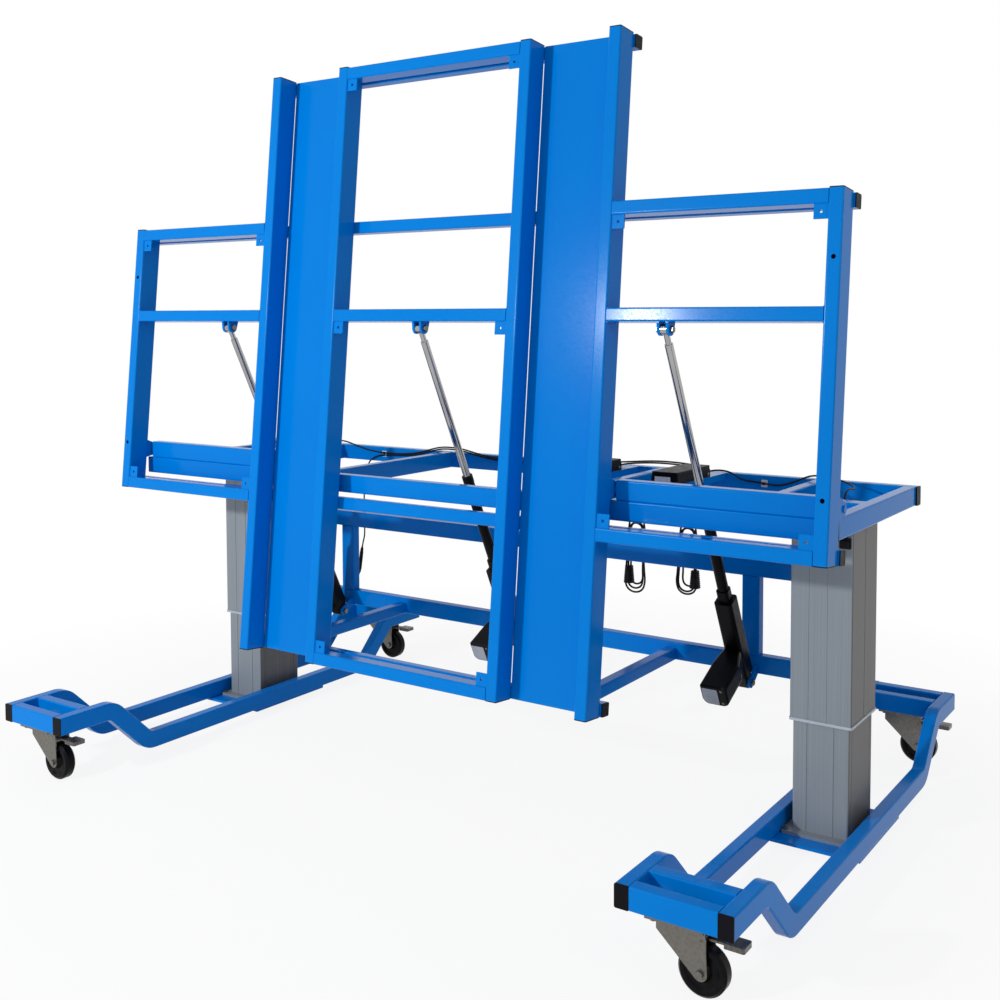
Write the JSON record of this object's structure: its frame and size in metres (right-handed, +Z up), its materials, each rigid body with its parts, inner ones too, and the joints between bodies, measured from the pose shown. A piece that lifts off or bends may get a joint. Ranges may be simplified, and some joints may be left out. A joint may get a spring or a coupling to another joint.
{
  "type": "tilting lift table",
  "caption": "Mobile lift table: caster feet, telescopic columns and a tubular worktop that electric actuators tilt from upright to flat.",
  "frame": {"origin": "on the floor, midway between the two feet and midway along them", "axes": "+X to the right across the table, +Y to the back, +Z up; the worktop's front faces -Y"},
  "size_m": [2.776, 1.902, 2.4167],
  "materials": {
    "blue_paint": "gloss powder coat",
    "black_plastic": "moulded, fine grain",
    "cable": "smooth jacket",
    "column_aluminium": "satin anodised",
    "seal": "satin",
    "zinc": "zinc plated",
    "rubber": "matt",
    "actuator_black": "satin black",
    "rod_chrome": "polished",
    "wheel": "satin black",
    "pedal": "ribbed black"
  },
  "bodies": {
    "base": {"foot_tubes_left": "blue_paint", "foot_tubes_right": "blue_paint", "foot_cross_tubes": "blue_paint", "foot_end_caps": "black_plastic", "foot_column_plates": "blue_paint", "column_feet": "column_aluminium", "column_inner_tubes": "column_aluminium", "caster_plates": "zinc", "base_bolts": "zinc"},
    "lift": {"front_beam": "blue_paint", "hinge_beams": "blue_paint", "hinge_pins": "zinc", "side_beams": "blue_paint", "rear_beam": "blue_paint", "inner_tubes": "blue_paint", "frame_end_caps": "black_plastic", "frame_plates": "blue_paint", "column_outer_tubes": "column_aluminium", "column_collars": "seal", "rear_cross_beams": "blue_paint", "rear_posts": "blue_paint", "stop_arms": "blue_paint", "stop_buffers": "rubber", "actuator_brackets": "blue_paint", "actuator_pins": "zinc", "control_box": "black_plastic", "cable_fittings": "black_plastic", "frame_cables": "cable", "hank_left": "cable", "hank_right": "cable"},
    "top": {"wing_uprights": "blue_paint", "long_uprights": "blue_paint", "centre_cross_tubes": "blue_paint", "wing_cross_tubes": "blue_paint", "rear_rails": "blue_paint", "side_panels": "blue_paint", "gusset_plates": "blue_paint", "top_end_caps": "black_plastic", "hinge_lugs": "blue_paint", "clevises": "blue_paint", "clevis_bolts": "zinc"},
    "actuator_left": {"actuator_body_left": "actuator_black"},
    "rod_left": {"actuator_rod_left": "rod_chrome"},
    "actuator_centre": {"actuator_body_centre": "actuator_black"},
    "rod_centre": {"actuator_rod_centre": "rod_chrome"},
    "actuator_right": {"actuator_body_right": "actuator_black"},
    "rod_right": {"actuator_rod_right": "rod_chrome"},
    "caster_front_left": {"caster_fork_front_left": "zinc"},
    "wheel_front_left": {"caster_wheel_front_left": "wheel"},
    "pedal_front_left": {"brake_pedal_front_left": "pedal"},
    "caster_front_right": {"caster_fork_front_right": "zinc"},
    "wheel_front_right": {"caster_wheel_front_right": "wheel"},
    "pedal_front_right": {"brake_pedal_front_right": "pedal"},
    "caster_rear_left": {"caster_fork_rear_left": "zinc"},
    "wheel_rear_left": {"caster_wheel_rear_left": "wheel"},
    "pedal_rear_left": {"brake_pedal_rear_left": "pedal"},
    "caster_rear_right": {"caster_fork_rear_right": "zinc"},
    "wheel_rear_right": {"caster_wheel_rear_right": "wheel"},
    "pedal_rear_right": {"brake_pedal_rear_right": "pedal"}
  },
  "joints": [
    {"name": "lift", "type": "slide", "parent": "base", "child": "lift", "axis": [0, 0, 1], "range_m": [-0.25, 0.15]},
    {"name": "tilt", "type": "hinge", "parent": "lift", "child": "top", "pos_m": [0, -0.305, 1.07], "axis": [-1, 0, 0], "range_deg": [0, 84.32]},
    {"name": "actuator_left_pivot", "type": "hinge", "parent": "lift", "child": "actuator_left", "pos_m": [-0.876, 0.217, 0.395], "axis": [-1, 0, 0], "range_deg": [0, 21.78]},
    {"name": "rod_left_slide", "type": "slide", "parent": "actuator_left", "child": "rod_left", "axis": [0, -0.4419, 0.8971], "range_m": [-0.51034, 0]},
    {"name": "actuator_centre_pivot", "type": "hinge", "parent": "lift", "child": "actuator_centre", "pos_m": [0, 0.217, 0.395], "axis": [-1, 0, 0], "range_deg": [0, 21.78]},
    {"name": "rod_centre_slide", "type": "slide", "parent": "actuator_centre", "child": "rod_centre", "axis": [0, -0.4419, 0.8971], "range_m": [-0.51034, 0]},
    {"name": "actuator_right_pivot", "type": "hinge", "parent": "lift", "child": "actuator_right", "pos_m": [0.876, 0.217, 0.395], "axis": [-1, 0, 0], "range_deg": [0, 21.78]},
    {"name": "rod_right_slide", "type": "slide", "parent": "actuator_right", "child": "rod_right", "axis": [0, -0.4419, 0.8971], "range_m": [-0.51034, 0]},
    {"name": "swivel_front_left", "type": "hinge", "parent": "base", "child": "caster_front_left", "pos_m": [-1.2075, -0.881, 0.1763], "axis": [0, 0, 1], "continuous": true},
    {"name": "roll_front_left", "type": "hinge", "parent": "caster_front_left", "child": "wheel_front_left", "pos_m": [-1.1575, -0.881, 0.0625], "axis": [0, 1, 0], "continuous": true},
    {"name": "brake_front_left", "type": "hinge", "parent": "caster_front_left", "child": "pedal_front_left", "pos_m": [-1.1535, -0.881, 0.1433], "axis": [0, 1, 0], "range_deg": [0, 14]},
    {"name": "swivel_front_right", "type": "hinge", "parent": "base", "child": "caster_front_right", "pos_m": [1.2075, -0.881, 0.1763], "axis": [0, 0, 1], "continuous": true},
    {"name": "roll_front_right", "type": "hinge", "parent": "caster_front_right", "child": "wheel_front_right", "pos_m": [1.2575, -0.881, 0.0625], "axis": [0, 1, 0], "continuous": true},
    {"name": "brake_front_right", "type": "hinge", "parent": "caster_front_right", "child": "pedal_front_right", "pos_m": [1.2615, -0.881, 0.1433], "axis": [0, 1, 0], "range_deg": [0, 14]},
    {"name": "swivel_rear_left", "type": "hinge", "parent": "base", "child": "caster_rear_left", "pos_m": [-1.2075, 0.881, 0.1763], "axis": [0, 0, 1], "continuous": true},
    {"name": "roll_rear_left", "type": "hinge", "parent": "caster_rear_left", "child": "wheel_rear_left", "pos_m": [-1.1575, 0.881, 0.0625], "axis": [0, 1, 0], "continuous": true},
    {"name": "brake_rear_left", "type": "hinge", "parent": "caster_rear_left", "child": "pedal_rear_left", "pos_m": [-1.1535, 0.881, 0.1433], "axis": [0, 1, 0], "range_deg": [0, 14]},
    {"name": "swivel_rear_right", "type": "hinge", "parent": "base", "child": "caster_rear_right", "pos_m": [1.2075, 0.881, 0.1763], "axis": [0, 0, 1], "continuous": true},
    {"name": "roll_rear_right", "type": "hinge", "parent": "caster_rear_right", "child": "wheel_rear_right", "pos_m": [1.2575, 0.881, 0.0625], "axis": [0, 1, 0], "continuous": true},
    {"name": "brake_rear_right", "type": "hinge", "parent": "caster_rear_right", "child": "pedal_rear_right", "pos_m": [1.2615, 0.881, 0.1433], "axis": [0, 1, 0], "range_deg": [0, 14]}
  ],
  "couplings": [
    {"joint": "actuator_left_pivot", "follows": "tilt", "ratio": 0.25818},
    {"joint": "rod_left_slide", "follows": "tilt", "m_per_rad": -0.34671},
    {"joint": "actuator_centre_pivot", "follows": "tilt", "ratio": 0.25818},
    {"joint": "rod_centre_slide", "follows": "tilt", "m_per_rad": -0.34671},
    {"joint": "actuator_right_pivot", "follows": "tilt", "ratio": 0.25818},
    {"joint": "rod_right_slide", "follows": "tilt", "m_per_rad": -0.34671}
  ]
}
